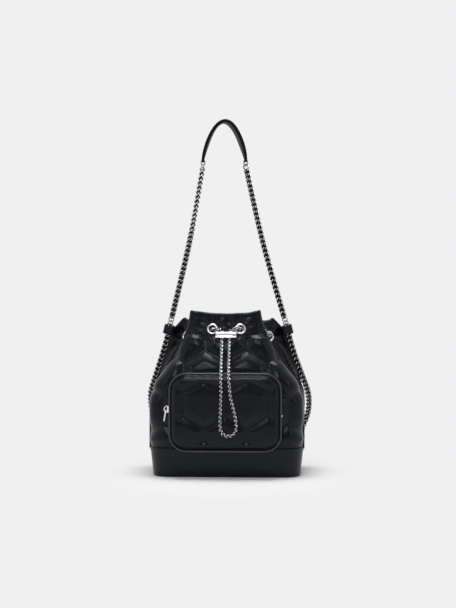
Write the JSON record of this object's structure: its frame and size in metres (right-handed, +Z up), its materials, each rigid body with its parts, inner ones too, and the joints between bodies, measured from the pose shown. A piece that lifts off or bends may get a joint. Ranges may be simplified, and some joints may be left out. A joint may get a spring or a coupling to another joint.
{
  "type": "drawstring bucket bag",
  "caption": "Quilted leather bucket bag with a drawstring mouth, zipped front pocket, sliding toggle and a swinging chain strap with a shoulder pad.",
  "frame": {"origin": "middle of the flat underside of the base, on the surface the bag stands on", "axes": "+Z up along the strap, -Y towards the front with the pocket, +X to the right seen from the front"},
  "size_m": [0.2238, 0.155, 0.4693],
  "materials": {
    "quilted_leather": "satin black leather, quilted",
    "smooth_leather": "satin black leather, smooth",
    "silver_metal": "polished silver-coloured metal",
    "lining_cloth": "black woven cloth",
    "zip_black": "black moulded coil",
    "base_stiffener": "stiff board"
  },
  "bodies": {
    "bag": {"base_band": "smooth_leather", "base_panel": "smooth_leather", "base_board": "base_stiffener", "front_panel": "quilted_leather", "back_panel": "quilted_leather", "left_gusset": "quilted_leather", "right_gusset": "quilted_leather", "lining": "lining_cloth", "lining_floor": "lining_cloth", "front_eyelets": "silver_metal", "side_eyelets": "silver_metal", "back_eyelets": "silver_metal", "pocket_front": "quilted_leather", "pocket_piping": "smooth_leather", "pocket_strip_front": "smooth_leather", "pocket_strip_back": "smooth_leather", "zip_tape": "lining_cloth", "zip_coil": "zip_black", "zip_stops": "silver_metal", "left_loop": "smooth_leather", "right_loop": "smooth_leather", "left_anchor_tab": "smooth_leather", "right_anchor_tab": "smooth_leather", "left_dring": "silver_metal", "right_dring": "silver_metal", "left_lower_chain": "silver_metal", "right_lower_chain": "silver_metal", "left_lower_lace": "smooth_leather", "right_lower_lace": "smooth_leather", "drawstring_run": "silver_metal", "drawstring_strands": "silver_metal", "drawstring_loop": "silver_metal"},
    "strap": {"left_upper_chain": "silver_metal", "right_upper_chain": "silver_metal", "left_upper_lace": "smooth_leather", "right_upper_lace": "smooth_leather", "strap_rings": "silver_metal"},
    "shoulder_pad": {"pad_outer": "smooth_leather", "pad_backing": "smooth_leather"},
    "toggle": {"toggle_bar": "silver_metal"},
    "zip_slider": {"zip_slider": "silver_metal"},
    "zip_pull": {"zip_pull": "silver_metal"}
  },
  "joints": [
    {"name": "strap_swing", "type": "hinge", "parent": "bag", "child": "strap", "pos_m": [0, 0.00189, 0.20211], "axis": [1, 0, 0], "range_deg": [-70, 70]},
    {"name": "pad_swing", "type": "hinge", "parent": "strap", "child": "shoulder_pad", "pos_m": [-0.005, 0.002, 0.4164], "axis": [1, 0, 0], "range_deg": [-60, 60]},
    {"name": "toggle_slide", "type": "slide", "parent": "bag", "child": "toggle", "axis": [0, -0.5694, -0.8221], "range_m": [0, 0.04]},
    {"name": "zip_slide", "type": "slide", "parent": "bag", "child": "zip_slider", "axis": [0, 0, 1], "range_m": [0, 0.0195]},
    {"name": "pull_swing", "type": "hinge", "parent": "zip_slider", "child": "zip_pull", "pos_m": [-0.0764, -0.0693, 0.0878], "axis": [0, 1, 0], "range_deg": [-8, 150]}
  ]
}
